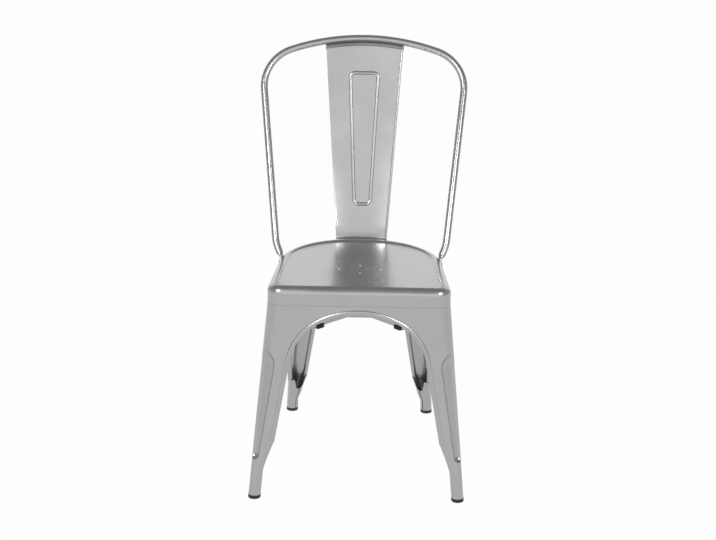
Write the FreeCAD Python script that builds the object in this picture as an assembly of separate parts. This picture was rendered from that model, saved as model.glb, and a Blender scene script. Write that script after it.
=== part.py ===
import FreeCAD, Part
import math
import os

# Metal bistro chair: a pressed seat pan on four pressed sheet legs, with a
# bent tube hoop and a sheet splat for the back. Millimetres, +Z up, the
# front of the chair faces -Y, and the origin is on the floor in the middle
# of the footprint.

# Stance, measured between the centres of the feet on the floor
FRONT_TRACK = 415.0
REAR_TRACK = 303.0
FOOT_SPACING = 484.0

# Seat pan
SEAT_HEIGHT = 450.0
SEAT_SETBACK = 8.0
SEAT_DEPTH = 346.5
SEAT_FRONT_WIDTH = 365.5
SEAT_REAR_WIDTH = 338.0
SEAT_FRONT_RADIUS = 28.0
SEAT_REAR_RADIUS = 160.0
SEAT_SHEET = 1.2
SKIRT_DEPTH = 38.0
SHOULDER_RADIUS = 15.0
RIM_WIDTH = 16.5
FRONT_RIM_WIDTH = 25.0
RECESS_DEPTH = 3.5
RECESS_CORNER_RADIUS = 26.0
RECESS_FILLET = 7.0
DRAIN_HOLE_DIAMETER = 6.5
DRAIN_CIRCLE_RADIUS = 49.0
DRAIN_COUNT = 6
DRAIN_FORWARD = 12.0

# Pressed legs
LEG_SHEET = 1.2
LEG_TUBE_DIAMETER = 25.0
TUBE_FLAT = 0.3
ANKLE_BOTTOM = 58.0
ANKLE_TOP = 125.0
ANKLE_EASE = 1.25
REAR_ANKLE_BOTTOM = 34.0
REAR_ANKLE_TOP = 92.0
REAR_ANKLE_EASE = 1.0
FRONT_LEG_WIDTH = 42.0
FRONT_LEG_SIDE_WIDTH = 40.0
REAR_LEG_WIDTH = 42.5
REAR_LEG_SIDE_WIDTH = 38.0
FOLD_RADIUS = 10.0
FOLD_PULL = 0.66
SLIT_WIDTH = 1.6
SLIT_RISE = 26.0
MOUTH_RADIUS = 5.0
COLLAR_HEIGHT = 25.0
REAR_RADIUS_POWER = 4.5
# Inward bow of the rear legs at half height, and how far inside the front
# corner their side walls aim at the floor
REAR_LEG_BOW = 7.0
REAR_SIDE_TURN = 200.0

# Rolled bead along the arches and the free edges of the legs
BEAD_RADIUS = 5.2
BEAD_DEPTH = 3.0

# Arches between the legs, measured to the middle of the bead
CROWN_DROP = 12.0
ARCH_CROWN_RADIUS = 170.0
ARCH_HAUNCH_RADIUS = 115.0
ARCH_CROWN_ANGLE = 31.0
REAR_ARCH_CROWN_RADIUS = 110.0
REAR_ARCH_HAUNCH_RADIUS = 50.0
REAR_ARCH_CROWN_ANGLE = 35.0
SIDE_SEAM_FORWARD = 15.0
HAUNCH_REACH = 0.6

# Flute pressed into the outer corner of each leg, a tapered groove with
# round ends; heights are those of the middle of each end
FLUTE_BOTTOM = 98.0
FLUTE_BOTTOM_RADIUS = 13.0
FLUTE_BOTTOM_DEPTH = 8.0
FLUTE_TOP_RADIUS = 35.0
FLUTE_TOP_DEPTH = 16.0
FRONT_FLUTE_DROP = 124.0
REAR_FLUTE_DROP = 164.0

# Rubber foot caps, plugged into the ends of the legs
CAP_HEIGHT = 8.0
CAP_PROUD = 0.4
CAP_ROUNDING = 2.5
CAP_SPIGOT = 10.0
CAP_SLACK = 0.6

# Back hoop, a bent tube in one leaning plane
HOOP_TUBE_DIAMETER = 15.0
HOOP_TUBE_WALL = 1.5
HOOP_WIDTH = 438.5
HOOP_RISE = 413.5
HOOP_TOP_BEHIND = 123.5
HOOP_MOUNT_DROP = 20.0
HOOP_MOUNT_FORWARD = 118.5
HOOP_TOP_RADIUS = 462.5
HOOP_CORNER_RADIUS = 85.0
HOOP_SIDE_SPLAY = 5.75
HOOP_KNEE_RISE = 40.0
HOOP_KNEE_REACH = 12.5
HOOP_TAPER_START = 20.0
HOOP_TAB_TOP = 9.0
HOOP_TAB_BELOW = 12.0
HOOP_TAB_THICKNESS = 4.5
HOOP_TAB_WIDTH = 19.0
HOOP_TAB_BLEND_ANGLE = 50.0

# Back splat
SPLAT_SHEET = 1.2
SPLAT_TOP_WIDTH = 166.0
SPLAT_BOTTOM_WIDTH = 108.0
SPLAT_BEND_DROP = 10.0
SPLAT_BEND_RISE = 26.0
SPLAT_TOP_GAP = 8.0
SPLAT_TONGUE_RISE = 3.0
SPLAT_FOOT_RISE = 4.0
EMBOSS_TOP_WIDTH = 60.0
EMBOSS_BOTTOM_WIDTH = 34.0
EMBOSS_TOP_RISE = 336.0
EMBOSS_BOTTOM_RISE = 68.0
EMBOSS_CORNER = 10.0
EMBOSS_RADIUS = 4.6
EMBOSS_PROUD = 1.9
SPLAT_HEM_RADIUS = 2.4
SPLAT_MIDDLE_FLAT = 9.0
SPLAT_RIVET_FROM_EDGE = 16.0

# Cross brace under the seat and its stacking pads
BRACE_DROP = 77.0
BRACE_DEPTH = 15.0
BRACE_WIDTH = 18.0
BRACE_SHEET = 1.5
BRACE_FLAT_LENGTH = 58.0
PAD_LENGTH = 18.0
PAD_WALL = 2.4
PAD_FLOOR = 5.0
PAD_LAP = 4.0
PAD_PLACE = 0.34
PAD_ROUNDING = 2.1

# Fasteners and fits
FIT = 0.3
RIVET_PLAY = 0.15
RIVET_DIAMETER = 6.0
RIVET_HEAD_DIAMETER = 12.0
RIVET_HEAD_HEIGHT = 2.6
SMALL_RIVET_DIAMETER = 4.0
SMALL_RIVET_HEAD_DIAMETER = 8.0
SMALL_RIVET_HEAD_HEIGHT = 1.8

# Sizes worked out from the ones above
TUBE_RADIUS = LEG_TUBE_DIAMETER / 2
SEAM_HEIGHT = SEAT_HEIGHT - SKIRT_DEPTH
HEAD_TOP = SEAM_HEIGHT - FIT
COLLAR_TOP = SEAM_HEIGHT + COLLAR_HEIGHT
FRONT_FOOT_Y = -FOOT_SPACING / 2
REAR_FOOT_Y = FOOT_SPACING / 2
SEAT_FRONT_Y = FRONT_FOOT_Y + SEAT_SETBACK
SEAT_REAR_Y = SEAT_FRONT_Y + SEAT_DEPTH
SEAT_MIDDLE_Y = (SEAT_FRONT_Y + SEAT_REAR_Y) / 2
SIDE_SEAM_Y = SEAT_MIDDLE_Y + SIDE_SEAM_FORWARD
CROWN_HEIGHT = SEAM_HEIGHT - CROWN_DROP
COLLAR_INSET = SEAT_SHEET + FIT
LEG_BOTTOM = CAP_HEIGHT + FIT
HOOP_RADIUS = HOOP_TUBE_DIAMETER / 2
HOOP_TOP_HEIGHT = SEAT_HEIGHT + HOOP_RISE
HOOP_TOP_BACK = SEAT_REAR_Y + HOOP_TOP_BEHIND
HOOP_FOOT_HEIGHT = SEAT_HEIGHT - HOOP_MOUNT_DROP
HOOP_FOOT_BACK = SEAT_REAR_Y - HOOP_MOUNT_FORWARD
SPLAT_BEND_BOTTOM = SEAT_HEIGHT - SPLAT_BEND_DROP
SPLAT_BEND_TOP = SEAT_HEIGHT + SPLAT_BEND_RISE
EMBOSS_TOP = SEAT_HEIGHT + EMBOSS_TOP_RISE
EMBOSS_BOTTOM = SEAT_HEIGHT + EMBOSS_BOTTOM_RISE
BRACE_HEIGHT = SEAM_HEIGHT - BRACE_DROP
HALF_ROOT = math.sqrt(0.5)

# How far cutting tools reach, and how many sections the lofts have
FAR = 600.0
CUT_REACH = 150.0
PAST = 5.0
SECTIONS = 6
FEW_SECTIONS = 4


def vec(x, y, z):
    return FreeCAD.Vector(x, y, z)


def hull_wire(circles, z):
    """Outline at height z round corner circles (x, y, radius), listed
    counter-clockwise; a radius of zero is a sharp corner."""
    count = len(circles)
    normals = []
    for i in range(count):
        x0, y0, r0 = circles[i]
        x1, y1, r1 = circles[(i + 1) % count]
        heading = math.atan2(y1 - y0, x1 - x0)
        gap = math.hypot(x1 - x0, y1 - y0)
        normals.append(heading - math.acos((r0 - r1) / gap))
    edges = []
    for i in range(count):
        x, y, r = circles[i]
        start = normals[i - 1]
        end = normals[i]
        while end < start:
            end += 2 * math.pi

        def on_circle(angle):
            return vec(x + r * math.cos(angle), y + r * math.sin(angle), z)

        if r > 0:
            middle = (start + end) / 2
            edges.append(Part.Arc(on_circle(start), on_circle(middle), on_circle(end)).toShape())
        x1, y1, r1 = circles[(i + 1) % count]
        far_end = vec(x1 + r1 * math.cos(end), y1 + r1 * math.sin(end), z)
        edges.append(Part.makeLine(on_circle(end), far_end))
    return Part.Wire(edges)


def loft(wires):
    return Part.makeLoft(wires, True, len(wires) == 2)


def prism(wire, height):
    return Part.Face(wire).extrude(vec(0, 0, height))


def ring_face(radius, wall, point, way):
    rings = [Part.Wire(Part.makeCircle(radius, point, way))]
    if wall > 0:
        rings.append(Part.Wire(Part.makeCircle(radius - wall, point, way)))
    return Part.makeFace(rings, "Part::FaceMakerBullseye")


def tube_along(edges, radius, wall=0):
    """Rod, or tube with a wall, along lines and arcs joined end to end."""
    pieces = []
    for edge in edges:
        curve = edge.Curve
        first = edge.FirstParameter
        start = edge.valueAt(first)
        profile = ring_face(radius, wall, start, edge.tangentAt(first))
        if curve.TypeId == "Part::GeomLine":
            pieces.append(profile.extrude(edge.valueAt(edge.LastParameter) - start))
        else:
            turn = math.degrees(edge.LastParameter - first)
            pieces.append(profile.revolve(curve.Center, curve.Axis, turn))
    return pieces[0].multiFuse(pieces[1:]).removeSplitter()


def tapered_rod(low, low_radius, high, high_radius):
    """Rod between two points, with round ends of two sizes."""
    axis = high - low
    length = axis.Length
    lean = math.asin((low_radius - high_radius) / length)
    half_low = (lean - math.pi / 2) / 2
    half_high = (lean + math.pi / 2) / 2

    def spot(base, radius, angle):
        return vec(radius * math.cos(angle), 0, base + radius * math.sin(angle))

    foot = vec(0, 0, -low_radius)
    side_low = spot(0, low_radius, lean)
    side_high = spot(length, high_radius, lean)
    tip = vec(0, 0, length + high_radius)
    edges = [
        Part.Arc(foot, spot(0, low_radius, half_low), side_low).toShape(),
        Part.makeLine(side_low, side_high),
        Part.Arc(side_high, spot(length, high_radius, half_high), tip).toShape(),
        Part.makeLine(tip, foot),
    ]
    rod = Part.Face(Part.Wire(edges)).revolve(vec(0, 0, 0), vec(0, 0, 1), 360)
    rod.Placement = FreeCAD.Placement(low, FreeCAD.Rotation(vec(0, 0, 1), axis))
    return rod


def one_solid(shape):
    """The largest solid of a result, without slivers."""
    return max(shape.Solids, key=lambda solid: solid.Volume)


def mirrored(shape):
    return shape.mirror(vec(0, 0, 0), vec(1, 0, 0))


# Outer faces of the leg frame


def mix(low, high, share):
    return low + (high - low) * share


def front_corner(z):
    """Outer x, outer y and corner radius of the frame's front corner."""
    rise = z / SEAM_HEIGHT
    x = mix(FRONT_TRACK / 2 + TUBE_RADIUS, SEAT_FRONT_WIDTH / 2, rise)
    y = mix(FRONT_FOOT_Y - TUBE_RADIUS, SEAT_FRONT_Y, rise)
    blend = max(0.0, (z - ANKLE_BOTTOM) / (SEAM_HEIGHT - ANKLE_BOTTOM))
    return x, y, mix(TUBE_RADIUS - TUBE_FLAT / 2, SEAT_FRONT_RADIUS, blend)


def rear_corner(z):
    """Outer x, outer y and corner radius of the frame's rear corner."""
    rise = z / SEAM_HEIGHT
    bow = REAR_LEG_BOW * max(0.0, 4 * rise * (1 - rise))
    x = mix(REAR_TRACK / 2 + TUBE_RADIUS, SEAT_REAR_WIDTH / 2, rise) - bow
    y = mix(REAR_FOOT_Y + TUBE_RADIUS, SEAT_REAR_Y, rise)
    share = max(0.0, (z - REAR_ANKLE_BOTTOM) / (SEAM_HEIGHT - REAR_ANKLE_BOTTOM))
    blend = share ** REAR_RADIUS_POWER
    return x, y, mix(TUBE_RADIUS - TUBE_FLAT / 2, SEAT_REAR_RADIUS, blend)


def corner_circles(z, inset, is_front=True):
    """The right-hand corner circles, as the side wall of one leg aims at them."""
    x, y, r = front_corner(z)
    if not is_front:
        x -= REAR_SIDE_TURN * max(0.0, 1 - z / SEAM_HEIGHT) ** 2
    front = (x - r, y + r, r - inset)
    x, y, r = rear_corner(z)
    rear = (x - r, y - r, r - inset)
    return front, rear


def side_normal(front, rear):
    heading = math.atan2(rear[1] - front[1], rear[0] - front[0])
    gap = math.hypot(rear[0] - front[0], rear[1] - front[1])
    return heading - math.acos((front[2] - rear[2]) / gap)


def plan_outline(z, inset, is_front=True):
    """Whole outline of the seat and the leg frame at height z."""
    front, rear = corner_circles(z, inset, is_front)
    circles = [
        (-front[0], front[1], front[2]),
        front,
        rear,
        (-rear[0], rear[1], rear[2]),
    ]
    return hull_wire(circles, z)


def skin_side(y, z, inset, is_front):
    """Outer x of a right leg's side wall at a depth y and height z."""
    front, rear = corner_circles(z, inset, is_front)
    angle = side_normal(front, rear)
    tangent_y = rear[1] + rear[2] * math.sin(angle)
    if y > tangent_y:
        return rear[0] + math.sqrt(rear[2] ** 2 - (y - rear[1]) ** 2)
    tangent_x = rear[0] + rear[2] * math.cos(angle)
    return tangent_x + (tangent_y - y) * math.tan(angle)


def skin_front(x, z, inset):
    return front_corner(z)[1] + inset


def skin_rear(x, z, inset):
    """Outer y of the rear at a width x and height z."""
    rear = corner_circles(z, inset)[1]
    if x > rear[0]:
        return rear[1] + math.sqrt(rear[2] ** 2 - (x - rear[0]) ** 2)
    return rear[1] + rear[2]


def levels(low, high, count):
    return [mix(low, high, i / (count - 1)) for i in range(count)]


# Leg heads, from the ankle up to the seam under the seat


def head_section(z, inset, is_front, past):
    front, rear = corner_circles(z, inset, is_front)
    angle = side_normal(front, rear)
    if is_front:
        x = rear[0] + rear[2] * math.cos(angle)
        y = rear[1] + rear[2] * math.sin(angle)
        circles = [(-past, front[1] - front[2], 0), front, (x, y, 0), (-past, y, 0)]
    else:
        x = front[0] + front[2] * math.cos(angle)
        y = front[1] + front[2] * math.sin(angle)
        circles = [(-past, y, 0), (x, y, 0), rear, (-past, rear[1] + rear[2], 0)]
    return hull_wire(circles, z)


def ankle_range(is_front):
    """Lowest and highest point of the blend from the foot to the head."""
    if is_front:
        return ANKLE_BOTTOM, ANKLE_TOP
    return REAR_ANKLE_BOTTOM, REAR_ANKLE_TOP


def head_solid(is_front, inset, past):
    heights = levels(ankle_range(is_front)[1] - past, HEAD_TOP + past, SECTIONS)
    return loft([head_section(z, inset, is_front, past) for z in heights])


# Ankles, where the sheet rolls up into a round foot


def ankle_share(z, is_front):
    low, high = ankle_range(is_front)
    ease = ANKLE_EASE if is_front else REAR_ANKLE_EASE
    return max(0.0, (z - low) / (high - low)) ** ease


def ankle_frame(z, is_front):
    """Corner circle and the two wall directions of a leg at height z."""
    front, rear = corner_circles(z, 0, is_front)
    angle = side_normal(front, rear)
    side_out = (math.cos(angle), math.sin(angle))
    if is_front:
        return front, (0, -1), side_out, (-1, 0), (-side_out[1], side_out[0])
    return rear, (0, 1), side_out, (-1, 0), (side_out[1], -side_out[0])


def ankle_section(z, inset, is_front):
    corner, face_out, side_out, along_face, along_side = ankle_frame(z, is_front)
    share = ankle_share(z, is_front)
    x, y, r = corner
    tube_r = TUBE_RADIUS - TUBE_FLAT / 2
    face_width = FRONT_LEG_WIDTH if is_front else REAR_LEG_WIDTH
    side_width = FRONT_LEG_SIDE_WIDTH if is_front else REAR_LEG_SIDE_WIDTH
    edge_r = mix(tube_r, BEAD_RADIUS, min(1.0, share))
    fold_r = mix(tube_r, FOLD_RADIUS, min(1.0, share))
    pull = mix(1.0, FOLD_PULL, min(1.0, share))
    run_face = mix(LEG_TUBE_DIAMETER, face_width, share) - r
    run_side = mix(LEG_TUBE_DIAMETER, side_width, share) - r

    def place(out, along, sideways, forward, radius):
        px = x + out[0] * sideways + along[0] * forward
        py = y + out[1] * sideways + along[1] * forward
        return (px, py, radius - inset)

    face_edge = place(face_out, along_face, r - edge_r, run_face - edge_r, edge_r)
    side_edge = place(side_out, along_side, r - edge_r, run_side - edge_r, edge_r)
    reach_face = (run_face - fold_r) * pull
    reach_side = (run_side - fold_r) * pull
    fold_x = x + along_face[0] * reach_face + along_side[0] * reach_side
    fold_y = y + along_face[1] * reach_face + along_side[1] * reach_side
    fold = (fold_x, fold_y, fold_r - inset)
    outer = (x, y, r - inset)
    if is_front:
        circles = [face_edge, outer, side_edge, fold]
    else:
        circles = [side_edge, outer, face_edge, fold]
    return hull_wire(circles, z)


def ankle_solid(is_front, inset, past):
    """Straight round foot and the blend above it."""
    low, high = ankle_range(is_front)
    foot = loft([ankle_section(z, inset, is_front) for z in (LEG_BOTTOM - past, low)])
    blend = loft([ankle_section(z, inset, is_front) for z in levels(low, high + past, SECTIONS)])
    return foot.fuse(blend)


# Flute in the outer corner of a leg


def corner_apex(z, is_front):
    front, rear = corner_circles(z, 0)
    sign = -1 if is_front else 1
    x, y, r = front if is_front else rear
    out_x = HALF_ROOT
    out_y = sign * HALF_ROOT
    return x + r * out_x, y + r * out_y, out_x, out_y


def flute_solid(is_front, grow):
    """The groove's tool, made larger all round by grow."""
    drop = FRONT_FLUTE_DROP if is_front else REAR_FLUTE_DROP
    ends = [
        (FLUTE_BOTTOM, FLUTE_BOTTOM_RADIUS, FLUTE_BOTTOM_DEPTH),
        (SEAM_HEIGHT - drop, FLUTE_TOP_RADIUS, FLUTE_TOP_DEPTH),
    ]
    spots = []
    for z, radius, depth in ends:
        x, y, out_x, out_y = corner_apex(z, is_front)
        reach = radius - depth
        spots += [vec(x + out_x * reach, y + out_y * reach, z), radius + grow]
    return tapered_rod(*spots)


# Arches


def wall_plane(on_skin, ankle_u, ankle_z):
    """Crown point and the two directions of the plane a free edge lies in."""
    crown = on_skin(0, CROWN_HEIGHT)
    ankle = on_skin(ankle_u, ankle_z)
    haunch = on_skin(ankle_u * HAUNCH_REACH, mix(ankle_z, CROWN_HEIGHT, HAUNCH_REACH))
    normal = (haunch - crown).cross(ankle - crown)
    normal.normalize()
    level = normal.cross(vec(0, 0, 1))
    level.normalize()
    if level.dot(ankle - crown) < 0:
        level = level * -1
    up = normal.cross(level)
    if up.z < 0:
        up = up * -1
    return crown, level, up, ankle - crown


def half_arch(on_skin, ankle_u, ankle_z, shape):
    """Edges of the free edge of a wall, from the crown to the ankle."""
    crown_r, haunch_r, crown_angle = shape
    crown, level, up, drop = wall_plane(on_skin, ankle_u, ankle_z)
    turn = math.radians(crown_angle)
    hx = (crown_r - haunch_r) * math.sin(turn)
    hz = (crown_r - haunch_r) * math.cos(turn) - crown_r
    du = drop.dot(level) - hx
    dz = drop.dot(up) - hz
    touch = math.atan2(dz, du) + math.acos(haunch_r / math.hypot(du, dz))

    def on_crown(angle):
        z = crown_r * math.cos(angle) - crown_r
        return crown + level * (crown_r * math.sin(angle)) + up * z

    def on_haunch(angle):
        u = hx + haunch_r * math.cos(angle)
        return crown + level * u + up * (hz + haunch_r * math.sin(angle))

    shoulder = math.pi / 2 - turn
    middle = (shoulder + touch) / 2
    return [
        Part.Arc(on_crown(0), on_crown(turn / 2), on_crown(turn)).toShape(),
        Part.Arc(on_crown(turn), on_haunch(middle), on_haunch(touch)).toShape(),
        Part.makeLine(on_haunch(touch), crown + drop),
    ]


def arch_cutter(edges):
    """Solid that clears the wall inside its free edge."""
    top = edges[0].valueAt(edges[0].FirstParameter)
    foot = edges[2].valueAt(edges[2].LastParameter)
    along = edges[0].tangentAt(edges[0].FirstParameter)
    down = edges[2].tangentAt(edges[2].LastParameter) * (2 * PAST)
    normal = along.cross(down)
    normal.normalize()
    back = top - along * PAST
    low = foot + down
    corner = back + vec(0, 0, 1) * (low.z - back.z)
    corner = corner - normal * normal.dot(corner - back)
    closing = [
        Part.makeLine(foot, low),
        Part.makeLine(low, corner),
        Part.makeLine(corner, back),
        Part.makeLine(back, top),
    ]
    face = Part.Face(Part.Wire(edges + closing))
    reach = normal * CUT_REACH
    return face.translated(reach * -1).extrude(reach * 2)


# One whole right-hand leg


def leg_edges(is_front):
    """Free edges of the two walls of a leg."""
    turn = -1 if is_front else 1
    top = ankle_range(is_front)[1]
    x, y = (front_corner(top) if is_front else rear_corner(top))[:2]
    face_width = FRONT_LEG_WIDTH if is_front else REAR_LEG_WIDTH
    side_width = FRONT_LEG_SIDE_WIDTH if is_front else REAR_LEG_SIDE_WIDTH
    main = (ARCH_CROWN_RADIUS, ARCH_HAUNCH_RADIUS, ARCH_CROWN_ANGLE)
    rear = (REAR_ARCH_CROWN_RADIUS, REAR_ARCH_HAUNCH_RADIUS, REAR_ARCH_CROWN_ANGLE)
    skin_face = skin_front if is_front else skin_rear

    def on_face(u, z):
        return vec(u, skin_face(u, z, BEAD_DEPTH), z)

    def on_side(u, z):
        y = SIDE_SEAM_Y + turn * u
        return vec(skin_side(y, z, BEAD_DEPTH, is_front), y, z)

    side_edge = abs(y - turn * (side_width - BEAD_RADIUS) - SIDE_SEAM_Y)
    face_edge = x - face_width + BEAD_RADIUS
    face_arch = half_arch(on_face, face_edge, top, main if is_front else rear)
    return face_arch, half_arch(on_side, side_edge, top, main)


def ankle_opening(is_front):
    """Slit down the inner side of the foot, and the rounded mouth above."""
    rise = ankle_range(is_front)[1]
    corner, face_out, side_out, along_face, along_side = ankle_frame(rise, is_front)
    x, y, r = corner
    foot_x, foot_y, foot_r = ankle_frame(0, is_front)[0]
    face_width = FRONT_LEG_WIDTH if is_front else REAR_LEG_WIDTH
    side_width = FRONT_LEG_SIDE_WIDTH if is_front else REAR_LEG_SIDE_WIDTH
    heart = vec(x, y, 0)
    face_edge = heart + vec(*along_face, 0) * (face_width - r - BEAD_RADIUS)
    side_edge = heart + vec(*along_side, 0) * (side_width - r - BEAD_RADIUS)
    across = face_edge - side_edge
    mouth = across.Length / 2 + BEAD_RADIUS / 2
    across.normalize()
    chord = (face_edge + side_edge) / 2
    inward = vec(-across.y, across.x, 0)
    if inward.dot(chord - heart) < 0:
        inward = inward * -1
    low = rise - SLIT_RISE
    circles = [(0, low + MOUTH_RADIUS, MOUTH_RADIUS), (mouth, rise + PAST, 0), (-mouth, rise + PAST, 0)]
    mouth_tool = Part.Face(hull_wire(circles, 0)).extrude(vec(0, 0, CUT_REACH))
    turn = FreeCAD.Rotation(across, vec(0, 0, 1), across.cross(vec(0, 0, 1)), "XYZ")
    if across.cross(vec(0, 0, 1)).dot(inward) < 0:
        turn = FreeCAD.Rotation(across * -1, vec(0, 0, 1), inward, "XYZ")
    mouth_tool.Placement = FreeCAD.Placement((heart + chord) / 2, turn)
    start = vec(foot_x, foot_y, -PAST)
    side = across * (SLIT_WIDTH / 2)
    run = vec(x - foot_x, y - foot_y, rise) * ((rise + 2 * PAST) / rise)
    reach = inward * CUT_REACH
    corners = [start - side, start + side, start + side + reach, start - side + reach, start - side]
    slit_tool = Part.Face(Part.makePolygon(corners)).extrude(run)
    return mouth_tool.fuse(slit_tool)


def collar(is_front):
    """Band that stands up inside the seat skirt, with its joggle."""
    lap_in = COLLAR_INSET + LEG_SHEET
    outer = plan_outline(SEAM_HEIGHT, COLLAR_INSET)
    inner = plan_outline(SEAM_HEIGHT, lap_in)
    step = plan_outline(SEAM_HEIGHT, LEG_SHEET / 2)
    low = HEAD_TOP - LEG_SHEET
    drop = vec(0, 0, low - SEAM_HEIGHT)
    height = COLLAR_TOP - low
    solid = prism(outer.translated(drop), height)
    solid = solid.fuse(prism(step.translated(drop), LEG_SHEET))
    return solid.cut(prism(inner.translated(drop * 2), height + 3 * PAST))


def quarter_box(is_front):
    """Space on the right of the middle, in front of or behind the seam."""
    size = FAR * 2
    y = SIDE_SEAM_Y - size if is_front else SIDE_SEAM_Y
    return Part.makeBox(size, size, size, vec(0, y, -PAST))


def right_leg(is_front):
    groove = flute_solid(is_front, 0)
    ridge = flute_solid(is_front, LEG_SHEET)
    head = head_solid(is_front, 0, 0).cut(groove)
    head = head.cut(head_solid(is_front, LEG_SHEET, PAST).cut(ridge))
    ankle = ankle_solid(is_front, 0, 0).cut(groove)
    ankle = ankle.cut(ankle_solid(is_front, LEG_SHEET, PAST).cut(ridge))
    ankle = ankle.cut(ankle_opening(is_front))
    edges = leg_edges(is_front)
    for wall_edges in edges:
        head = head.cut(arch_cutter(wall_edges))
    head = head.fuse(collar(is_front)).common(quarter_box(is_front))
    if not is_front:
        head = head.cut(skirt_rivet_holes())
    leg = one_solid(head).fuse(one_solid(ankle))
    for wall_edges in edges:
        leg = leg.fuse(tube_along(wall_edges, BEAD_RADIUS))
    for wall_edges in edges:
        leg = leg.cut(tube_along(wall_edges, BEAD_RADIUS - LEG_SHEET))
    return one_solid(leg)


# Foot caps


def foot_circle(z, is_front, radius):
    corner, face_out, side_out, along_face, along_side = ankle_frame(z, is_front)
    x = corner[0] + (along_face[0] + along_side[0]) * TUBE_FLAT / 2
    y = corner[1] + (along_face[1] + along_side[1]) * TUBE_FLAT / 2
    return Part.Wire(Part.makeCircle(radius, vec(x, y, z)))


def right_cap(is_front):
    """Rounded disc under the leg, with a spigot up inside it."""
    wide = TUBE_RADIUS + CAP_PROUD
    disc = loft([foot_circle(z, is_front, wide) for z in (0, CAP_HEIGHT)])
    rim = [edge for edge in disc.Edges if edge.BoundBox.ZMax < FIT]
    disc = disc.makeFillet(CAP_ROUNDING, rim)
    narrow = TUBE_RADIUS - LEG_SHEET - CAP_SLACK
    heights = (CAP_HEIGHT / 2, CAP_HEIGHT + CAP_SPIGOT)
    return disc.fuse(loft([foot_circle(z, is_front, narrow) for z in heights]))


# Seat pan


def plain_outline(z, inset):
    """Seat outline, moved to height z without the lean of the legs."""
    wire = plan_outline(SEAM_HEIGHT, inset)
    return wire.translated(vec(0, 0, z - SEAM_HEIGHT))


def domed_prism(inset, low, high, radius):
    """Upright block with the seat's outline and a rounded top edge."""
    block = prism(plain_outline(low, inset), high - low)
    rim = [edge for edge in block.Edges if edge.BoundBox.ZMin > high - FIT]
    return block.makeFillet(radius, rim)


def recess_outline(z, grow):
    """Outline of the sunken panel, with a wider rim at the front."""
    front, rear = corner_circles(SEAM_HEIGHT, RIM_WIDTH)
    angle = side_normal(front, rear)
    side = front[0] * math.cos(angle) + front[1] * math.sin(angle) + front[2]
    radius = RECESS_CORNER_RADIUS
    y = SEAT_FRONT_Y + FRONT_RIM_WIDTH + radius
    x = (side - radius - y * math.sin(angle)) / math.cos(angle)
    circles = [
        (-x, y, radius + grow),
        (x, y, radius + grow),
        (rear[0], rear[1], rear[2] + grow),
        (-rear[0], rear[1], rear[2] + grow),
    ]
    return hull_wire(circles, z)


def recess_tool(sheet, radius):
    """Shallow tray with sloping sides and a rounded lower edge, moved down
    and out by a sheet's thickness."""
    low = SEAT_HEIGHT - RECESS_DEPTH - sheet
    spread = sheet * (1 / HALF_ROOT - 1)
    floor = recess_outline(low, spread - RECESS_DEPTH)
    rim = recess_outline(low + RECESS_DEPTH + PAST, spread + PAST)
    block = loft([floor, rim])
    edges = [edge for edge in block.Edges if edge.BoundBox.ZMax < low + FIT]
    return block.makeFillet(radius, edges)


def drain_spots():
    y = SEAT_MIDDLE_Y - DRAIN_FORWARD
    spots = [(0.0, y)]
    for i in range(DRAIN_COUNT):
        angle = math.pi / 2 + 2 * math.pi * i / DRAIN_COUNT
        dx = DRAIN_CIRCLE_RADIUS * math.cos(angle)
        spots.append((dx, y + DRAIN_CIRCLE_RADIUS * math.sin(angle)))
    return spots


def rivet_hole(spot, out, diameter):
    """Clearance hole along a rivet's axis."""
    way = vec(*out)
    length = 2 * (RIVET_HEAD_DIAMETER + COLLAR_INSET)
    return Part.makeCylinder(diameter / 2 + RIVET_PLAY, length, spot - way * (length / 2), way)


def skirt_rivet_holes():
    """Holes through the skirt and the collar behind it for all rivets."""
    spot, out = skirt_mount()
    hole = rivet_hole(spot, out, RIVET_DIAMETER)
    holes = [mirrored(hole)]
    for spot, out in splat_rivet_spots():
        holes.append(rivet_hole(spot, out, SMALL_RIVET_DIAMETER))
    return hole.multiFuse(holes)


def seat_pan():
    top = SEAT_HEIGHT
    outer = domed_prism(0, SEAM_HEIGHT, top, SHOULDER_RADIUS)
    inner_radius = SHOULDER_RADIUS - SEAT_SHEET
    inner = domed_prism(SEAT_SHEET, SEAM_HEIGHT - PAST, top - SEAT_SHEET, inner_radius)
    outer = outer.cut(recess_tool(0, RECESS_FILLET))
    under = recess_tool(SEAT_SHEET, RECESS_FILLET + SEAT_SHEET)
    pan = outer.cut(inner.cut(under))
    for x, y in drain_spots():
        low = vec(x, y, top - RECESS_DEPTH - 2 * SEAT_SHEET)
        pan = pan.cut(Part.makeCylinder(DRAIN_HOLE_DIAMETER / 2, 4 * SEAT_SHEET, low))
    return one_solid(pan.cut(skirt_rivet_holes()))


# Back hoop


def hoop_plane():
    """Lowest middle point and the up direction of the leaning hoop."""
    foot = vec(0, HOOP_FOOT_BACK, HOOP_FOOT_HEIGHT)
    up = vec(0, HOOP_TOP_BACK, HOOP_TOP_HEIGHT) - foot
    length = up.Length
    up.normalize()
    return foot, up, length


def hoop_point(x, s):
    foot, up, length = hoop_plane()
    return foot + vec(x, 0, 0) + up * s


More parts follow.
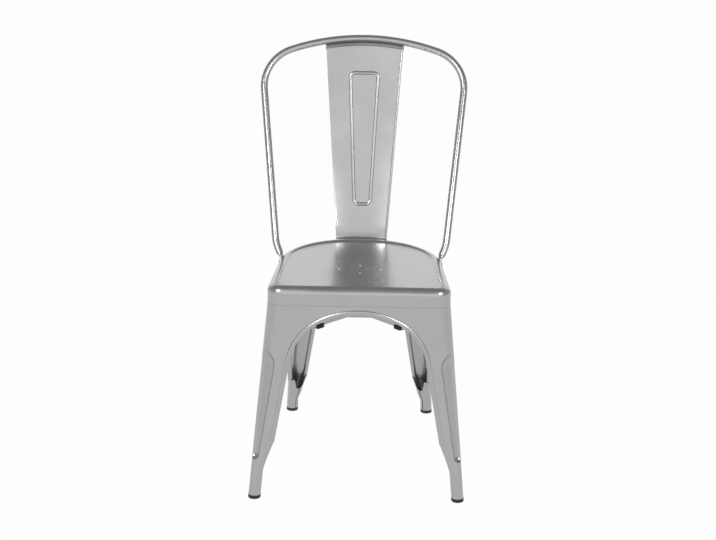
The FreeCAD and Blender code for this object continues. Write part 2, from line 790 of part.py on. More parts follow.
def hoop_layout():
    """Right half of the tube's middle line in the hoop's own plane."""
    top_s = hoop_plane()[2] - HOOP_RADIUS
    top_r = HOOP_TOP_RADIUS
    corner_r = HOOP_CORNER_RADIUS
    corner_x = HOOP_WIDTH / 2 - HOOP_RADIUS - corner_r
    corner_s = top_s - top_r + math.sqrt((top_r - corner_r) ** 2 - corner_x ** 2)
    lean = math.radians(HOOP_SIDE_SPLAY)
    side = (corner_x + corner_r * math.cos(lean), corner_s - corner_r * math.sin(lean))
    bend = math.asin(corner_x / (top_r - corner_r))
    shoulder = (top_r * math.sin(bend), top_s - top_r + top_r * math.cos(bend))
    half = (math.pi / 2 - bend - lean) / 2
    corner_mid = (
        corner_x + corner_r * math.cos(half - lean),
        corner_s + corner_r * math.sin(half - lean),
    )
    knee = (side[0] - (side[1] - HOOP_KNEE_RISE) * math.tan(lean), HOOP_KNEE_RISE)
    return top_s, shoulder, corner_mid, side, knee


def skirt_mount():
    """Where the hoop's tab lies on the skirt, and the outward direction."""
    rear = corner_circles(SEAM_HEIGHT, 0)[1]
    angle = math.asin((HOOP_FOOT_BACK - rear[1]) / rear[2])
    out = (math.cos(angle), math.sin(angle), 0)
    spot = vec(rear[0] + rear[2] * out[0], rear[1] + rear[2] * out[1], HOOP_FOOT_HEIGHT)
    return spot, out


def tab_centre(s):
    """Middle of the flattened end, s along the hoop from its lowest point."""
    spot, out = skirt_mount()
    way = hoop_plane()[1]
    flat = way - vec(*out) * way.dot(vec(*out))
    flat.normalize()
    clear = FIT + HOOP_TAB_THICKNESS / 2
    return spot + vec(*out) * clear + flat * s, flat


def tab_section(s):
    """Rounded flat section of the hoop's end."""
    centre, flat = tab_centre(s)
    out = vec(*skirt_mount()[1])
    across = flat.cross(out)
    half = HOOP_TAB_THICKNESS / 2
    reach = across * (HOOP_TAB_WIDTH / 2 - half)
    thick = out * half
    tip = across * half
    edges = [
        Part.makeLine(centre - reach + thick, centre + reach + thick),
        Part.Arc(centre + reach + thick, centre + reach + tip, centre + reach - thick).toShape(),
        Part.makeLine(centre + reach - thick, centre - reach - thick),
        Part.Arc(centre - reach - thick, centre - reach - tip, centre - reach + thick).toShape(),
    ]
    return Part.Wire(edges)


def tube_section(point, way, radius):
    """Round section split like the flat one, so that the two can blend."""
    out = vec(*skirt_mount()[1])
    across = way.cross(out)
    across.normalize()
    out = across.cross(way)
    low = math.radians(HOOP_TAB_BLEND_ANGLE)

    def spot(angle):
        return point + across * (radius * math.cos(angle)) + out * (radius * math.sin(angle))

    turns = [math.pi - low, low, -low, low - math.pi]
    middles = [math.pi / 2, 0, -math.pi / 2, math.pi]
    edges = []
    for i in range(4):
        start = spot(turns[i])
        end = spot(turns[(i + 1) % 4])
        edges.append(Part.Arc(start, spot(middles[i]), end).toShape())
    return Part.Wire(edges)


def hoop_end():
    """Flattened right-hand end, from the round tube to the riveted tab."""
    point = hoop_start()
    way = hoop_knee_point() - point
    way.normalize()
    sections = [
        tab_section(-HOOP_TAB_BELOW),
        tab_section(HOOP_TAB_TOP),
        tube_section(point, way, HOOP_RADIUS),
    ]
    flat = loft(sections[:2])
    return flat.fuse(loft(sections[1:]))


def hoop_knee_point():
    return hoop_point(*hoop_layout()[4])


def hoop_start():
    """Lower end of the round tube."""
    knee = hoop_layout()[4]
    tab = tab_centre(HOOP_TAB_TOP)[0]
    share = (HOOP_TAPER_START - HOOP_TAB_TOP) / (knee[1] - HOOP_TAB_TOP)
    x = mix(tab.x, knee[0], share)
    return hoop_point(x, HOOP_TAPER_START)


def filleted_path(start, corner, end, radius):
    """Line, arc and line through a corner point."""
    first = start - corner
    second = end - corner
    first.normalize()
    second.normalize()
    half = first.getAngle(second) / 2
    setback = radius / math.tan(half)
    inward = first + second
    inward.normalize()
    centre = corner + inward * (radius / math.sin(half))
    middle = centre - inward * radius
    a = corner + first * setback
    b = corner + second * setback
    return [Part.makeLine(start, a), Part.Arc(a, middle, b).toShape(), Part.makeLine(b, end)]


def bend_radius(start, corner, end, reach):
    """Radius of a bend that begins the given reach from its corner."""
    return reach * math.tan((start - corner).getAngle(end - corner) / 2)


def back_hoop():
    top_s, shoulder, corner_mid, side, knee = hoop_layout()
    bend = [hoop_start(), hoop_point(*knee), hoop_point(*side)]
    edges = filleted_path(*bend, bend_radius(*bend, HOOP_KNEE_REACH))
    edges.append(Part.Arc(hoop_point(*side), hoop_point(*corner_mid), hoop_point(*shoulder)).toShape())
    half_turn = math.asin(shoulder[0] / HOOP_TOP_RADIUS) / 2
    mid_x = HOOP_TOP_RADIUS * math.sin(half_turn)
    mid_s = top_s - HOOP_TOP_RADIUS * (1 - math.cos(half_turn))
    crown = Part.Arc(hoop_point(*shoulder), hoop_point(mid_x, mid_s), hoop_point(0, top_s))
    edges.append(crown.toShape())
    tube = tube_along(edges, HOOP_RADIUS, HOOP_TUBE_WALL)
    spot, out = skirt_mount()
    tip = hoop_end().cut(rivet_hole(spot, out, RIVET_DIAMETER))
    half = tube.fuse(tip)
    return half.fuse(mirrored(half)).removeSplitter()


# Back splat


def splat_line():
    """Heights and depths of the splat's front face down its middle."""
    top = hoop_point(0, hoop_plane()[2] - HOOP_TUBE_DIAMETER)
    low_y = SEAT_REAR_Y + FIT + SPLAT_SHEET
    return low_y, top


def splat_station(z):
    """Depth of the splat's back face at a height on its middle line."""
    low_y, top = splat_line()
    bend = SPLAT_BEND_TOP - SPLAT_BEND_BOTTOM
    slope = (top.y + SPLAT_SHEET / 2 - low_y) / (top.z - (SPLAT_BEND_BOTTOM + bend / 2))
    if z <= SPLAT_BEND_BOTTOM:
        return low_y
    if z >= SPLAT_BEND_TOP:
        return low_y + slope * (z - SPLAT_BEND_BOTTOM - bend / 2)
    return low_y + slope * (z - SPLAT_BEND_BOTTOM) ** 2 / (2 * bend)


def splat_half_width(z):
    share = (z - SEAT_HEIGHT) / (splat_line()[1].z - SEAT_HEIGHT)
    return mix(SPLAT_BOTTOM_WIDTH, SPLAT_TOP_WIDTH, share) / 2


def splat_sagitta(z):
    """How far the splat's long edges stand forward of its middle."""
    half = splat_half_width(min(z, SPLAT_BEND_BOTTOM))
    low = SEAT_REAR_Y - skin_rear(half, SEAM_HEIGHT, 0)
    share = max(0.0, (z - SPLAT_BEND_BOTTOM) / (splat_line()[1].z - SPLAT_BEND_BOTTOM))
    return mix(low, FIT / 2, share)


def splat_curve(z, depth):
    """Arc, line and arc across one face of the splat, from -X to +X."""
    half = splat_half_width(z)
    sag = splat_sagitta(z)
    flat = SPLAT_MIDDLE_FLAT
    radius = ((half - flat) ** 2 + sag ** 2) / (2 * sag)
    turn = math.asin((half - flat) / radius) / 2
    mid_x = flat + radius * math.sin(turn)
    mid_y = depth - radius * (1 - math.cos(turn))
    left = Part.Arc(vec(-half, depth - sag, z), vec(-mid_x, mid_y, z), vec(-flat, depth, z))
    right = Part.Arc(vec(flat, depth, z), vec(mid_x, mid_y, z), vec(half, depth - sag, z))
    middle = Part.makeLine(vec(-flat, depth, z), vec(flat, depth, z))
    return [left.toShape(), middle, right.toShape()]


def splat_section(z):
    back = splat_station(z)
    edges = splat_curve(z, back) + splat_curve(z, back - SPLAT_SHEET)
    half = splat_half_width(z)
    edge_y = back - splat_sagitta(z)
    for x in (-half, half):
        edges.append(Part.makeLine(vec(x, edge_y, z), vec(x, edge_y - SPLAT_SHEET, z)))
    return Part.Wire(Part.__sortEdges__(edges))


def splat_hem():
    """Rolled right-hand edge of the splat."""

    def spot(z):
        y = splat_station(z) - splat_sagitta(z) - SPLAT_SHEET / 2
        return vec(splat_half_width(z) - SPLAT_HEM_RADIUS, y, z)

    low = spot(SEAT_HEIGHT)
    bend = spot(SPLAT_BEND_TOP)
    middle = spot((SEAT_HEIGHT + SPLAT_BEND_TOP) / 2)
    edges = [Part.Arc(low, middle, bend).toShape()]
    edges.append(Part.makeLine(bend, spot(splat_line()[1].z + PAST)))
    return tube_along(edges, SPLAT_HEM_RADIUS).fuse(Part.makeSphere(SPLAT_HEM_RADIUS, low))


def splat_emboss(radius):
    """Bead pressed round a tapered panel in the middle of the splat."""
    sink = EMBOSS_RADIUS - EMBOSS_PROUD

    def spot(x, z):
        return vec(x, splat_station(z) - SPLAT_SHEET + sink, z)

    top = EMBOSS_TOP_WIDTH / 2
    low = EMBOSS_BOTTOM_WIDTH / 2
    corners = [
        spot(-low, EMBOSS_BOTTOM),
        spot(low, EMBOSS_BOTTOM),
        spot(top, EMBOSS_TOP),
        spot(-top, EMBOSS_TOP),
    ]
    edges = []
    for i in range(4):
        before = (corners[i - 1] + corners[i]) * 0.5
        after = (corners[(i + 1) % 4] + corners[i]) * 0.5
        edges += filleted_path(before, corners[i], after, EMBOSS_CORNER)
    low_z = EMBOSS_BOTTOM - 2 * EMBOSS_CORNER
    high_z = EMBOSS_TOP + 2 * EMBOSS_CORNER
    wide = vec(SPLAT_TOP_WIDTH, 0, 0)
    behind = [vec(0, splat_station(z), z) for z in (low_z, high_z)]
    ring = [behind[0] - wide, behind[0] + wide, behind[1] + wide, behind[1] - wide, behind[0] - wide]
    return tube_along(edges, radius).cut(Part.Face(Part.makePolygon(ring)).extrude(vec(0, FAR, 0)))


def splat_reach():
    """Radius of the splat's top edge round the middle of the hoop's crown."""
    return HOOP_TOP_RADIUS - HOOP_RADIUS - SPLAT_TOP_GAP


def hoop_disc(radius, front, back):
    """Disc round the middle of the hoop's crown; front and back are measured
    backwards from the tube's middle plane."""
    middle = hoop_point(0, hoop_layout()[0] - HOOP_TOP_RADIUS)
    behind = hoop_plane()[1].cross(vec(1, 0, 0))
    return Part.makeCylinder(radius, back - front, middle + behind * front, behind)


def splat_flange():
    """Ledge at the splat's top, and the tongue it turns up behind the tube."""
    front = HOOP_RADIUS + FIT
    back = front + SPLAT_SHEET
    reach = splat_reach()
    tongue = hoop_disc(HOOP_TOP_RADIUS + SPLAT_TONGUE_RISE, front, back)
    ledge = hoop_disc(reach, 0, back)
    flange = tongue.fuse(ledge).cut(hoop_disc(reach - SPLAT_SHEET, -PAST, back + PAST))
    low = hoop_point(0, hoop_layout()[0] - HOOP_TOP_RADIUS / 2)
    room = Part.makeBox(SPLAT_TOP_WIDTH, FAR, FAR, vec(-SPLAT_TOP_WIDTH / 2, low.y - PAST, low.z))
    return one_solid(flange.common(room))


def back_splat():
    low = SEAM_HEIGHT + SPLAT_FOOT_RISE
    top = splat_line()[1]
    foot = [low, SPLAT_BEND_BOTTOM]
    bend = levels(SPLAT_BEND_BOTTOM, SPLAT_BEND_TOP, FEW_SECTIONS)
    upper = [SPLAT_BEND_TOP, top.z + PAST]
    runs = [loft([splat_section(z) for z in heights]) for heights in (foot, bend, upper)]
    sheet = runs[0].multiFuse(runs[1:])
    hem = splat_hem()
    sheet = sheet.fuse(splat_emboss(EMBOSS_RADIUS)).cut(splat_emboss(EMBOSS_RADIUS - SPLAT_SHEET))
    sheet = sheet.fuse(hem).fuse(mirrored(hem))
    reach = splat_reach()
    sheet = sheet.common(hoop_disc(reach, -FAR / 2, FAR / 2)).fuse(splat_flange())
    for spot, out in splat_rivet_spots():
        sheet = sheet.cut(rivet_hole(spot, out, SMALL_RIVET_DIAMETER))
    return one_solid(sheet)


def splat_rivet_spots():
    """Points on the rear skirt where the splat's foot is riveted."""
    z = (SEAM_HEIGHT + COLLAR_TOP + SPLAT_FOOT_RISE) / 2
    x = SPLAT_BOTTOM_WIDTH / 2 - SPLAT_RIVET_FROM_EDGE
    rear = corner_circles(SEAM_HEIGHT, 0)[1]
    angle = math.acos((x - rear[0]) / rear[2])
    out = (math.cos(angle), math.sin(angle), 0)
    spot = vec(x, rear[1] + rear[2] * out[1], z)
    return [(spot, out), (vec(-x, spot.y, z), (-out[0], out[1], 0))]


# Rivets


def rivet(spot, out, stack_out, diameter, head, head_height):
    """Round-headed rivet through a stack of sheets; spot is on the skirt."""
    way = vec(*out)
    stack_in = COLLAR_INSET + LEG_SHEET + RIVET_PLAY
    inside = spot - way * stack_in
    length = stack_in + stack_out
    shank = Part.makeCylinder(diameter / 2, length, inside, way)
    outer_head = rivet_head(spot + way * stack_out, way, head, head_height)
    inner_head = rivet_head(inside, way * -1, head, head_height)
    return shank.fuse(outer_head).fuse(inner_head).removeSplitter()


def rivet_head(spot, way, diameter, height):
    """Shallow dome on a flat face."""
    radius = ((diameter / 2) ** 2 + height ** 2) / (2 * height)
    ball = Part.makeSphere(radius, spot - way * (radius - height))
    cap = Part.makeCylinder(diameter, 2 * height, spot, way)
    return ball.common(cap)


def hoop_rivet():
    spot, out = skirt_mount()
    stack = FIT + HOOP_TAB_THICKNESS
    return rivet(spot, out, stack, RIVET_DIAMETER, RIVET_HEAD_DIAMETER, RIVET_HEAD_HEIGHT)


def splat_rivets():
    rivets = []
    stack = FIT + SPLAT_SHEET
    for spot, out in splat_rivet_spots():
        sizes = (SMALL_RIVET_DIAMETER, SMALL_RIVET_HEAD_DIAMETER, SMALL_RIVET_HEAD_HEIGHT)
        rivets.append(rivet(spot, out, stack, *sizes))
    return Part.Compound(rivets)


# Cross brace


def brace_path(is_front):
    """Plan of one bent channel: leg, flat middle, leg."""
    turn = -1 if is_front else 1
    y = SEAT_MIDDLE_Y + turn * BRACE_WIDTH / 2
    x, apex_y, out_x, out_y = corner_apex(BRACE_HEIGHT, is_front)
    reach = BRACE_WIDTH
    end = (x + out_x * reach, apex_y + out_y * reach)
    half = BRACE_FLAT_LENGTH / 2
    return [(-end[0], end[1]), (-half, y), (half, y), end]


def offset_path(points, distance):
    """Mitred copy of an open path, moved sideways."""
    shifted = []
    count = len(points)
    for i in range(count):
        normals = []
        for j in (i - 1, i):
            if 0 <= j < count - 1:
                dx = points[j + 1][0] - points[j][0]
                dy = points[j + 1][1] - points[j][1]
                size = math.hypot(dx, dy)
                normals.append((-dy / size, dx / size))
        nx = sum(n[0] for n in normals) / len(normals)
        ny = sum(n[1] for n in normals) / len(normals)
        square = nx * nx + ny * ny
        shifted.append((points[i][0] + nx * distance / square, points[i][1] + ny * distance / square))
    return shifted


def strip(points, width, low, height):
    """Bent bar of one width and height."""
    left = offset_path(points, width / 2)
    right = offset_path(points, -width / 2)
    ring = [vec(x, y, low) for x, y in left + right[::-1]]
    return Part.Face(Part.makePolygon(ring + ring[:1])).extrude(vec(0, 0, height))


def brace_room(is_front):
    """Space inside the legs that the ends of a brace may fill."""
    heights = levels(BRACE_HEIGHT - 2 * PAST, BRACE_HEIGHT + BRACE_DEPTH + PAST, FEW_SECTIONS)
    inset = LEG_SHEET + FIT
    inside = loft([plan_outline(z, inset, is_front) for z in heights])
    ridge = flute_solid(is_front, LEG_SHEET + FIT)
    return inside.cut(ridge).cut(mirrored(ridge))


def brace(is_front):
    path = brace_path(is_front)
    bar = strip(path, BRACE_WIDTH, BRACE_HEIGHT, BRACE_DEPTH)
    hollow_width = BRACE_WIDTH - 2 * BRACE_SHEET
    hollow = strip(path, hollow_width, BRACE_HEIGHT - PAST, BRACE_DEPTH + PAST - BRACE_SHEET)
    channel = bar.cut(hollow).common(brace_room(is_front))
    for hole in brace_rivet_holes():
        channel = channel.cut(hole)
    return one_solid(channel)


def brace_rivet_spots():
    x = BRACE_FLAT_LENGTH / 2 - SMALL_RIVET_HEAD_DIAMETER
    z = BRACE_HEIGHT + (BRACE_DEPTH - BRACE_SHEET) / 2
    return [vec(-x, SEAT_MIDDLE_Y, z), vec(x, SEAT_MIDDLE_Y, z)]


def brace_rivet_holes():
    radius = SMALL_RIVET_DIAMETER / 2 + RIVET_PLAY
    length = 4 * BRACE_SHEET
    back = vec(0, length / 2, 0)
    return [Part.makeCylinder(radius, length, p - back, vec(0, 1, 0)) for p in brace_rivet_spots()]


def brace_rivets():
    """Two rivets through the walls where the channels lie back to back."""
    rivets = []
    for spot in brace_rivet_spots():
        way = vec(0, 1, 0)
        start = spot - way * BRACE_SHEET
        shank = Part.makeCylinder(SMALL_RIVET_DIAMETER / 2, 2 * BRACE_SHEET, start, way)
        sizes = (SMALL_RIVET_HEAD_DIAMETER, SMALL_RIVET_HEAD_HEIGHT)
        heads = rivet_head(spot + way * BRACE_SHEET, way, *sizes)
        heads = heads.fuse(rivet_head(start, way * -1, *sizes))
        rivets.append(shank.fuse(heads).removeSplitter())
    return Part.Compound(rivets)


def right_pad(is_front):
    """Rubber shoe clipped up round the lower edges of a brace arm."""
    start, end = brace_path(is_front)[2:]
    dx = end[0] - start[0]
    dy = end[1] - start[1]
    length = math.hypot(dx, dy)
    ux, uy = dx / length, dy / length
    middle = length * PAD_PLACE
    near = middle - PAD_LENGTH / 2
    far = middle + PAD_LENGTH / 2
    points = [(start[0] + ux * d, start[1] + uy * d) for d in (near, far)]
    long = [(start[0] + ux * d, start[1] + uy * d) for d in (near - PAST, far + PAST)]
    width = BRACE_WIDTH + 2 * (FIT + PAD_WALL)
    pad = strip(points, width, BRACE_HEIGHT - PAD_FLOOR, PAD_FLOOR + PAD_LAP)
    corners = [e for e in pad.Edges if e.BoundBox.ZMax < BRACE_HEIGHT - PAD_FLOOR + FIT]
    pad = pad.makeFillet(PAD_ROUNDING, corners)
    slot = strip(long, BRACE_WIDTH + 2 * FIT, BRACE_HEIGHT - FIT, PAD_LAP + PAST)
    return pad.cut(slot)


def build():
    """All sub-parts by name."""
    nodes = {"seat_pan": seat_pan(), "back_hoop": back_hoop(), "back_splat": back_splat()}
    for end, is_front in (("front", True), ("rear", False)):
        leg = right_leg(is_front)
        cap = right_cap(is_front)
        pad = right_pad(is_front)
        nodes[end + "_right_leg"] = leg
        nodes[end + "_left_leg"] = mirrored(leg)
        nodes[end + "_right_foot_cap"] = cap
        nodes[end + "_left_foot_cap"] = mirrored(cap)
        nodes[end + "_right_brace_pad"] = pad
        nodes[end + "_left_brace_pad"] = mirrored(pad)
        nodes[end + "_brace"] = brace(is_front)
    nodes["brace_rivets"] = brace_rivets()
    nodes["hoop_rivet_right"] = hoop_rivet()
    nodes["hoop_rivet_left"] = mirrored(nodes["hoop_rivet_right"])
    nodes["splat_rivets"] = splat_rivets()
    return nodes


os.makedirs("parts", exist_ok=True)
for name, shape in build().items():
    shape.exportStep("parts/" + name + ".step")
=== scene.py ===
import math
import bpy
from mathutils import Matrix, Vector

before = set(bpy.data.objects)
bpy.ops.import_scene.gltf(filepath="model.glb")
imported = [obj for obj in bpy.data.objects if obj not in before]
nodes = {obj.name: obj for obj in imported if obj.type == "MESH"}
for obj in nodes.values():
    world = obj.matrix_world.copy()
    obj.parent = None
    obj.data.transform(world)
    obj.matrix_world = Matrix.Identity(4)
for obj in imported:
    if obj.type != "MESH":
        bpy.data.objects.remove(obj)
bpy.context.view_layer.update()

bpy.ops.object.select_all(action="DESELECT")

# Seat pan
# One sheet of mild steel pressed to a tray with a rolled shoulder, then
# sprayed with silver powder coat and baked. It shows a soft, slightly
# blurred reflection of the back, and a faint orange peel close up.


def linear(colour):
    """Linear colour of an sRGB hex value such as "A0A0A0"."""
    parts = [int(colour[i : i + 2], 16) / 255 for i in (0, 2, 4)]
    return [p / 12.92 if p < 0.04045 else ((p + 0.055) / 1.055) ** 2.4 for p in parts] + [1.0]


def add(tree, kind, settings=None, inputs=None):
    """Adds a node; an input is a value, or the socket that feeds it."""
    node = tree.nodes.new(kind)
    for name, value in (settings or {}).items():
        setattr(node, name, value)
    for name, value in (inputs or {}).items():
        if isinstance(value, bpy.types.NodeSocket):
            tree.links.new(value, node.inputs[name])
        else:
            node.inputs[name].default_value = value
    return node


def new_material(name):
    """An empty material, with its node tree."""
    material = bpy.data.materials.new(name)
    material.use_nodes = True
    material.node_tree.nodes.clear()
    return material, material.node_tree


def finish_material(tree, shader):
    add(tree, "ShaderNodeOutputMaterial", inputs={"Surface": shader.outputs[0]})


def give(material, names):
    """Puts the material in the only slot of each named CAD node."""
    for name in names:
        mesh = nodes[name].data
        mesh.materials.clear()
        mesh.materials.append(material)


def silver_powder_coat(name, light, dark, roughness):
    """Aluminium flake powder coat on steel: metallic, satin to semi-gloss."""
    # The film's thickness is uneven, in clouds about 60 mm across
    clouds_per_metre = 16.0
    # Flakes of about 0.4 mm, drawn at 1.6 mm so that they show
    flakes_per_metre = 620.0
    # Orange peel, 2 mm waves drawn at 4 mm so that they show
    waves_per_metre = 250.0
    wave_height = 0.0005
    wave_strength = 0.06
    flake_share = 0.35
    cloud_share = 0.65
    roughness_swing = 0.03

    material, tree = new_material(name)
    spot = add(tree, "ShaderNodeTexCoord").outputs["Object"]
    clouds = {"Vector": spot, "Scale": clouds_per_metre, "Detail": 3.0, "Roughness": 0.5}
    cloud = add(tree, "ShaderNodeTexNoise", inputs=clouds).outputs["Fac"]
    flakes = {"Vector": spot, "Scale": flakes_per_metre}
    flake = add(tree, "ShaderNodeTexVoronoi", inputs=flakes).outputs["Color"]
    scaled_sum = {"operation": "MULTIPLY_ADD"}
    tone = add(tree, "ShaderNodeMath", scaled_sum, {0: flake, 1: flake_share, 2: 0.0})
    mixed = add(tree, "ShaderNodeMath", scaled_sum, {0: cloud, 1: cloud_share, 2: tone.outputs[0]})
    colour = add(tree, "ShaderNodeMix", {"data_type": "RGBA"}, {"Factor": mixed.outputs[0]})
    colour.inputs["A"].default_value = linear(dark)
    colour.inputs["B"].default_value = linear(light)
    rough = add(tree, "ShaderNodeMapRange", inputs={"Value": cloud})
    set_range(rough, 0.3, 0.7, roughness - roughness_swing, roughness + roughness_swing)
    waves = {"Vector": spot, "Scale": waves_per_metre, "Detail": 1.0}
    peel = add(tree, "ShaderNodeTexNoise", inputs=waves)
    relief = {"Height": peel.outputs["Fac"], "Strength": wave_strength, "Distance": wave_height}
    bump = add(tree, "ShaderNodeBump", inputs=relief)
    gloss = {"Metallic": 0.85, "Coat Weight": 0.25, "Coat Roughness": 0.12}
    shader = add(tree, "ShaderNodeBsdfPrincipled", inputs=gloss)
    tree.links.new(colour.outputs["Result"], shader.inputs["Base Color"])
    tree.links.new(rough.outputs["Result"], shader.inputs["Roughness"])
    tree.links.new(bump.outputs["Normal"], shader.inputs["Normal"])
    finish_material(tree, shader)
    return material


def set_range(node, low, high, at_low, at_high):
    """Sets a Map Range node to go from at_low to at_high between low and high."""
    for name, value in (("From Min", low), ("From Max", high), ("To Min", at_low), ("To Max", at_high)):
        node.inputs[name].default_value = value


silver = silver_powder_coat("silver_powder_coat", "BEBEBF", "B2B2B3", 0.25)
give(silver, ["seat_pan"])

# Legs
# Four pressed steel sheets with rolled edges, spot-welded to each other at
# the crowns of the arches and painted in one go with the seat.

give(silver, ["front_right_leg", "front_left_leg", "rear_right_leg", "rear_left_leg"])

# Back hoop
# Bent steel tube, flattened at its two ends and riveted there to the seat,
# and painted with it.

give(silver, ["back_hoop"])

# Back splat
# Pressed sheet with rolled long edges and a beaded panel, riveted to the
# seat at its foot and welded to the hoop at its top.

give(silver, ["back_splat"])

# Cross brace
# Two folded steel channels riveted back to back under the seat, with their
# arms welded to the legs.

give(silver, ["front_brace", "rear_brace"])

# Rivets
# Domed steel rivets, set before painting and covered by the same coat, so
# that only their shape shows.

give(silver, ["brace_rivets", "hoop_rivet_right", "hoop_rivet_left", "splat_rivets"])

# Foot caps
# Moulded black rubber plugs: a rounded disc under each leg, on a spigot
# pushed up its end. The rubber is matt, with a grain and a bloom of dust.


def black_rubber(name, dark, light, roughness):
    """Moulded black rubber: a dark matt body, with dust in its grain."""
    # Dust lies in patches about 11 mm across
    patches_per_metre = 90.0
    # A moulded grain of about 1.4 mm
    grains_per_metre = 700.0
    grain_height = 0.0004
    grain_strength = 0.2

    material, tree = new_material(name)
    spot = add(tree, "ShaderNodeTexCoord").outputs["Object"]
    patches = {"Vector": spot, "Scale": patches_per_metre, "Detail": 4.0}
    dust = add(tree, "ShaderNodeTexNoise", inputs=patches)
    colour = add(tree, "ShaderNodeMix", {"data_type": "RGBA"}, {"Factor": dust.outputs["Fac"]})
    colour.inputs["A"].default_value = linear(dark)
    colour.inputs["B"].default_value = linear(light)
    grains = {"Vector": spot, "Scale": grains_per_metre, "Detail": 2.0}
    grain = add(tree, "ShaderNodeTexNoise", inputs=grains)
    relief = {"Height": grain.outputs["Fac"], "Strength": grain_strength, "Distance": grain_height}
    bump = add(tree, "ShaderNodeBump", inputs=relief)
    shader = add(tree, "ShaderNodeBsdfPrincipled", inputs={"Roughness": roughness, "IOR": 1.52})
    tree.links.new(colour.outputs["Result"], shader.inputs["Base Color"])
    tree.links.new(bump.outputs["Normal"], shader.inputs["Normal"])
    finish_material(tree, shader)
    return material


cap_rubber = black_rubber("foot_cap_rubber", "141415", "242426", 0.5)
give(cap_rubber, ["front_right_foot_cap", "front_left_foot_cap"])
give(cap_rubber, ["rear_right_foot_cap", "rear_left_foot_cap"])

# Stacking pads
# Softer black rubber shoes, moulded as a U and pushed on to the arms of the
# brace, to keep the paint of a stacked chair from being scratched.

pad_rubber = black_rubber("stacking_pad_rubber", "17171A", "2A2A2D", 0.62)
give(pad_rubber, ["front_right_brace_pad", "front_left_brace_pad"])
give(pad_rubber, ["rear_right_brace_pad", "rear_left_brace_pad"])

# Room
# A white paper floor and a white room round it, which the chair's paint
# mirrors: bright low down in front and behind, darker overhead and beside.


def paper(name, seen, mirrored):
    """White paper. A share of it, seen, glows white and hides that much of the
    shadow. Mirrored is how bright the glow is in the chair's paint."""
    material, tree = new_material(name)
    light = add(tree, "ShaderNodeLightPath")
    larger = {"operation": "MAXIMUM"}
    through = {0: light.outputs["Is Camera Ray"], 1: light.outputs["Is Transmission Ray"]}
    direct = add(tree, "ShaderNodeMath", larger, through)
    either = {0: direct.outputs[0], 1: light.outputs["Is Glossy Ray"]}
    shown = add(tree, "ShaderNodeMath", larger, either)
    share = add(tree, "ShaderNodeMath", {"operation": "MULTIPLY"}, {0: shown.outputs[0], 1: seen})
    brightness = {0: direct.outputs[0], 1: 1 - mirrored, 2: mirrored}
    level = add(tree, "ShaderNodeMath", {"operation": "MULTIPLY_ADD"}, brightness)
    matt = add(tree, "ShaderNodeBsdfDiffuse", inputs={"Color": linear("F4F4F4")})
    white = {"Color": (1, 1, 1, 1), "Strength": level.outputs[0]}
    glow = add(tree, "ShaderNodeEmission", inputs=white)
    layers = {0: share.outputs[0], 1: matt.outputs[0], 2: glow.outputs[0]}
    finish_material(tree, add(tree, "ShaderNodeMixShader", inputs=layers))
    return material


bpy.ops.mesh.primitive_plane_add(size=14.0, location=(0, 0, 0))
floor = bpy.context.object
floor.name = "floor"
floor.data.materials.append(paper("floor_paper", 0.97, 0.8))


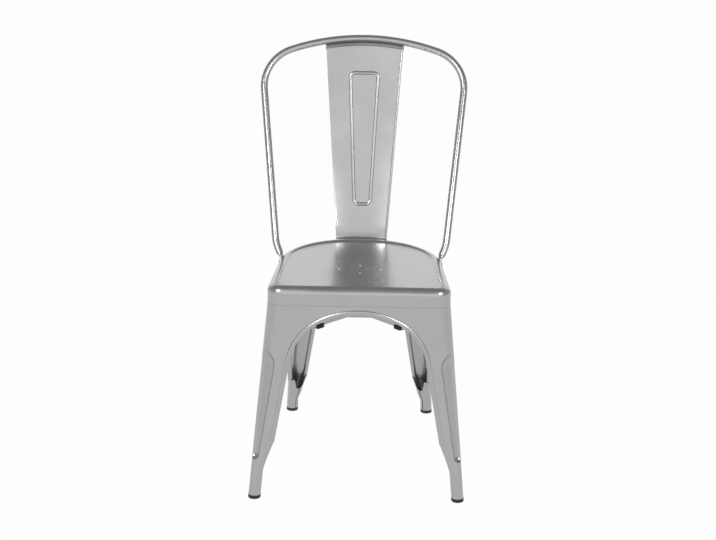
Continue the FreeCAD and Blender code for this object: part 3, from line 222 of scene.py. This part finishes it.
def white_room():
    """World light by direction, and plain white to the camera."""
    # Behind the chair the bright part reaches a little higher than in front
    backward_tilt = -0.12
    # Heights and sideways parts of a direction of length 1
    full_below, dim_above = 0.42, 0.72
    overhead = 0.18
    full_within, dim_beyond = 0.45, 0.85
    beside_level = 0.35

    world = bpy.data.worlds.new("white_room")
    world.use_nodes = True
    tree = world.node_tree
    tree.nodes.clear()
    place = add(tree, "ShaderNodeTexCoord")
    way = add(tree, "ShaderNodeSeparateXYZ", inputs={0: place.outputs["Generated"]})
    tilted = {0: way.outputs["Y"], 1: backward_tilt, 2: way.outputs["Z"]}
    height = add(tree, "ShaderNodeMath", {"operation": "MULTIPLY_ADD"}, tilted)
    beside = add(tree, "ShaderNodeMath", {"operation": "ABSOLUTE"}, {0: way.outputs["X"]})
    soft = {"interpolation_type": "SMOOTHSTEP"}
    low = add(tree, "ShaderNodeMapRange", soft, {"Value": height.outputs[0]})
    set_range(low, full_below, dim_above, 1.0, overhead)
    side = add(tree, "ShaderNodeMapRange", soft, {"Value": beside.outputs[0]})
    set_range(side, full_within, dim_beyond, 1.0, beside_level)
    both = {0: low.outputs[0], 1: side.outputs[0]}
    level = add(tree, "ShaderNodeMath", {"operation": "MULTIPLY"}, both)
    light = add(tree, "ShaderNodeLightPath")
    larger = {0: light.outputs["Is Camera Ray"], 1: level.outputs[0]}
    seen = add(tree, "ShaderNodeMath", {"operation": "MAXIMUM"}, larger)
    white = {"Color": (1, 1, 1, 1), "Strength": seen.outputs[0]}
    sky = add(tree, "ShaderNodeBackground", inputs=white)
    add(tree, "ShaderNodeOutputWorld", inputs={"Surface": sky.outputs[0]})
    return world


bpy.context.scene.world = white_room()


def softbox(name, place, size, watts):
    """A square lamp that shines on the middle of the chair."""
    middle = Vector((0, 0, 0.45))
    lamp = bpy.data.lights.new(name, "AREA")
    lamp.shape = "RECTANGLE"
    lamp.size = size
    lamp.size_y = size
    lamp.energy = watts
    box = bpy.data.objects.new(name, lamp)
    bpy.context.scene.collection.objects.link(box)
    box.location = place
    box.rotation_euler = (middle - Vector(place)).to_track_quat("-Z", "Y").to_euler()


softbox("key_light", (-1.9, -3.2, 3.1), 1.3, 75)
softbox("fill_light", (2.1, -3.2, 2.9), 1.3, 60)

# Camera
# The photographer stands about four metres in front of the chair, with a
# long lens, and looks down at it by eighteen degrees.

photo_width = 716
focal_length_in_pixels = 2064.7
sensor_width = 36.0
eye = Matrix.Translation((0.0358, -4.1062, 1.7464))
turn_left = Matrix.Rotation(0.00997, 4, "Z")
look_down = Matrix.Rotation(math.pi / 2 - 0.31403, 4, "X")
roll = Matrix.Rotation(0.01533, 4, "Z")

lens = bpy.data.cameras.new("camera")
lens.sensor_width = sensor_width
lens.lens = focal_length_in_pixels / photo_width * sensor_width
lens.clip_end = 50.0
camera = bpy.data.objects.new("camera", lens)
bpy.context.scene.collection.objects.link(camera)
camera.matrix_world = eye @ (turn_left @ look_down) @ roll
bpy.context.scene.camera = camera
bpy.context.scene.view_settings.view_transform = "Standard"
